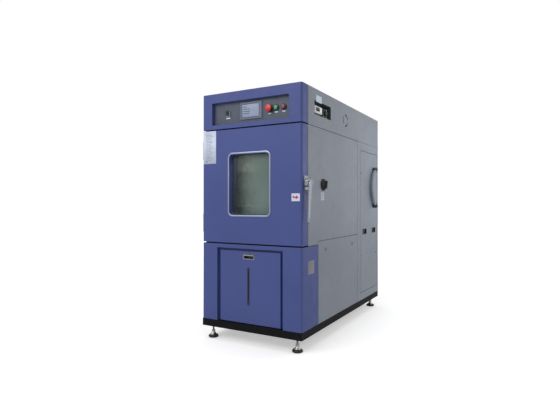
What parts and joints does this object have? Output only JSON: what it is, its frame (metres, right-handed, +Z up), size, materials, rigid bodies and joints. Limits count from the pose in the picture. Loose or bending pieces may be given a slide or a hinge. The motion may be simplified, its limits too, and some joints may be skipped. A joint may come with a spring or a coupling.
{
  "type": "environmental test chamber",
  "caption": "Floor-standing temperature and humidity test chamber with a windowed side-hinged door, control fascia, water drawer and levelling feet.",
  "frame": {"origin": "on the floor, under the centre of the whole object's bounding box", "axes": "+Z up, -Y out of the front (the door), +X to the right as seen from the front"},
  "size_m": [0.7478, 1.421, 1.505],
  "materials": {
    "blue_paint": "satin textured powder coat",
    "grey_paint": "satin textured powder coat",
    "black_paint": "semi-matt black paint",
    "stainless": "brushed",
    "foam": "rigid foam",
    "panel_grey": "matt dark grey sheet",
    "chrome": "polished",
    "black_rubber": "matt rubber",
    "black_plastic": "matt moulded",
    "white_plastic": "satin moulded",
    "tank_plastic": "translucent white moulded",
    "screen": "glossy",
    "red_plastic": "glossy",
    "green_plastic": "glossy translucent",
    "dark_red_plastic": "glossy translucent",
    "clear_glass": "clear, coated",
    "aluminium": "plain",
    "copper": "copper tube",
    "grey_hose": "grey rubber hose",
    "steel": "zinc plated"
  },
  "bodies": {
    "cabinet": {"base_frame": "black_paint", "machine_frame": "grey_paint", "insulation": "foam", "liner": "stainless", "side_skins": "grey_paint", "lower_side_panels": "grey_paint", "rear_side_panels": "grey_paint", "control_box_cover": "grey_paint", "back_cover": "grey_paint", "fascia": "blue_paint", "control_panels": "panel_grey", "touch_screen": "screen", "usb_port": "black_plastic", "button_bezels": "black_plastic", "lower_front_cover": "blue_paint", "drawer_runners": "steel", "cabinet_hinges": "chrome", "latch_strike": "chrome", "port_sleeve": "black_plastic", "shelves": "stainless", "shelf_uprights": "stainless", "air_baffle": "stainless", "heater": "stainless", "evaporator": "aluminium", "blower_motor": "aluminium", "compressor": "black_paint", "refrigerant_pipes": "copper", "condenser": "aluminium", "side_switchgear": "white_plastic", "electrical_plate": "white_plastic", "hose": "grey_hose", "service_fittings": "black_plastic"},
    "door": {"door_shell": "blue_paint", "door_core": "foam", "door_inner_pan": "stainless", "door_gasket": "black_rubber", "window_trim": "aluminium", "window_panes": "clear_glass", "window_spacer": "panel_grey", "door_hinge_leaves": "chrome", "latch_body": "chrome"},
    "latch_lever": {"latch_lever": "chrome"},
    "drawer": {"drawer_front": "blue_paint", "water_tank": "tank_plastic", "drawer_pull": "chrome", "level_gauge": "black_plastic"},
    "estop_button": {"estop_button": "red_plastic"},
    "start_button": {"start_button": "green_plastic"},
    "stop_button": {"stop_button": "dark_red_plastic"},
    "blower_wheel": {"blower_wheel": "aluminium"},
    "condenser_fan": {"condenser_fan": "black_plastic"},
    "breaker_toggle": {"breaker_toggle": "black_plastic"},
    "temperature_dial": {"temperature_dial": "black_plastic"},
    "port_plug": {"port_plug": "black_rubber"},
    "panel_lock_front": {"panel_lock_front": "chrome"},
    "panel_lock_rear": {"panel_lock_rear": "chrome"},
    "foot_front_left": {"foot_front_left": "black_rubber"},
    "foot_front_right": {"foot_front_right": "black_rubber"},
    "foot_rear_left": {"foot_rear_left": "black_rubber"},
    "foot_rear_right": {"foot_rear_right": "black_rubber"}
  },
  "joints": [
    {"name": "door_hinge", "type": "hinge", "parent": "cabinet", "child": "door", "pos_m": [-0.3639, -0.6315, 0.9465], "axis": [0, 0, -1], "range_deg": [0, 120]},
    {"name": "latch_lever_swing", "type": "hinge", "parent": "door", "child": "latch_lever", "pos_m": [0.3624, -0.6575, 0.944], "axis": [-1, 0, 0], "range_deg": [0, 60]},
    {"name": "drawer_slide", "type": "slide", "parent": "cabinet", "child": "drawer", "axis": [0, -1, 0], "range_m": [0, 0.32]},
    {"name": "estop_button_press", "type": "slide", "parent": "cabinet", "child": "estop_button", "axis": [0, 1, 0], "range_m": [0, 0.005], "stiffness_N_per_m": 600},
    {"name": "start_button_press", "type": "slide", "parent": "cabinet", "child": "start_button", "axis": [0, 1, 0], "range_m": [0, 0.003], "stiffness_N_per_m": 300},
    {"name": "stop_button_press", "type": "slide", "parent": "cabinet", "child": "stop_button", "axis": [0, 1, 0], "range_m": [0, 0.003], "stiffness_N_per_m": 300},
    {"name": "blower_spin", "type": "hinge", "parent": "cabinet", "child": "blower_wheel", "pos_m": [0.0001, -0.0555, 1.113], "axis": [0, 1, 0], "continuous": true},
    {"name": "condenser_fan_spin", "type": "hinge", "parent": "cabinet", "child": "condenser_fan", "pos_m": [0.1101, 0.547, 0.283], "axis": [0, 1, 0], "continuous": true},
    {"name": "breaker_throw", "type": "hinge", "parent": "cabinet", "child": "breaker_toggle", "pos_m": [0.3286, -0.4925, 1.39], "axis": [0, 1, 0], "range_deg": [-22, 22]},
    {"name": "dial_turn", "type": "hinge", "parent": "cabinet", "child": "temperature_dial", "pos_m": [0.3196, -0.3515, 1.39], "axis": [1, 0, 0], "range_deg": [-135, 135]},
    {"name": "plug_pull", "type": "slide", "parent": "cabinet", "child": "port_plug", "axis": [1, 0, 0], "range_m": [0, 0.05]},
    {"name": "panel_lock_front_turn", "type": "hinge", "parent": "cabinet", "child": "panel_lock_front", "pos_m": [0.3401, -0.3805, 0.553], "axis": [1, 0, 0], "range_deg": [0, 90]},
    {"name": "panel_lock_rear_turn", "type": "hinge", "parent": "cabinet", "child": "panel_lock_rear", "pos_m": [0.3401, 0.0765, 0.553], "axis": [1, 0, 0], "range_deg": [0, 90]},
    {"name": "foot_front_left_turn", "type": "hinge", "parent": "cabinet", "child": "foot_front_left", "pos_m": [-0.3009, -0.6625, 0], "axis": [0, 0, 1], "continuous": true},
    {"name": "foot_front_right_turn", "type": "hinge", "parent": "cabinet", "child": "foot_front_right", "pos_m": [0.2891, -0.6625, 0], "axis": [0, 0, 1], "continuous": true},
    {"name": "foot_rear_left_turn", "type": "hinge", "parent": "cabinet", "child": "foot_rear_left", "pos_m": [-0.3009, 0.6315, 0], "axis": [0, 0, 1], "continuous": true},
    {"name": "foot_rear_right_turn", "type": "hinge", "parent": "cabinet", "child": "foot_rear_right", "pos_m": [0.2891, 0.6315, 0], "axis": [0, 0, 1], "continuous": true}
  ]
}
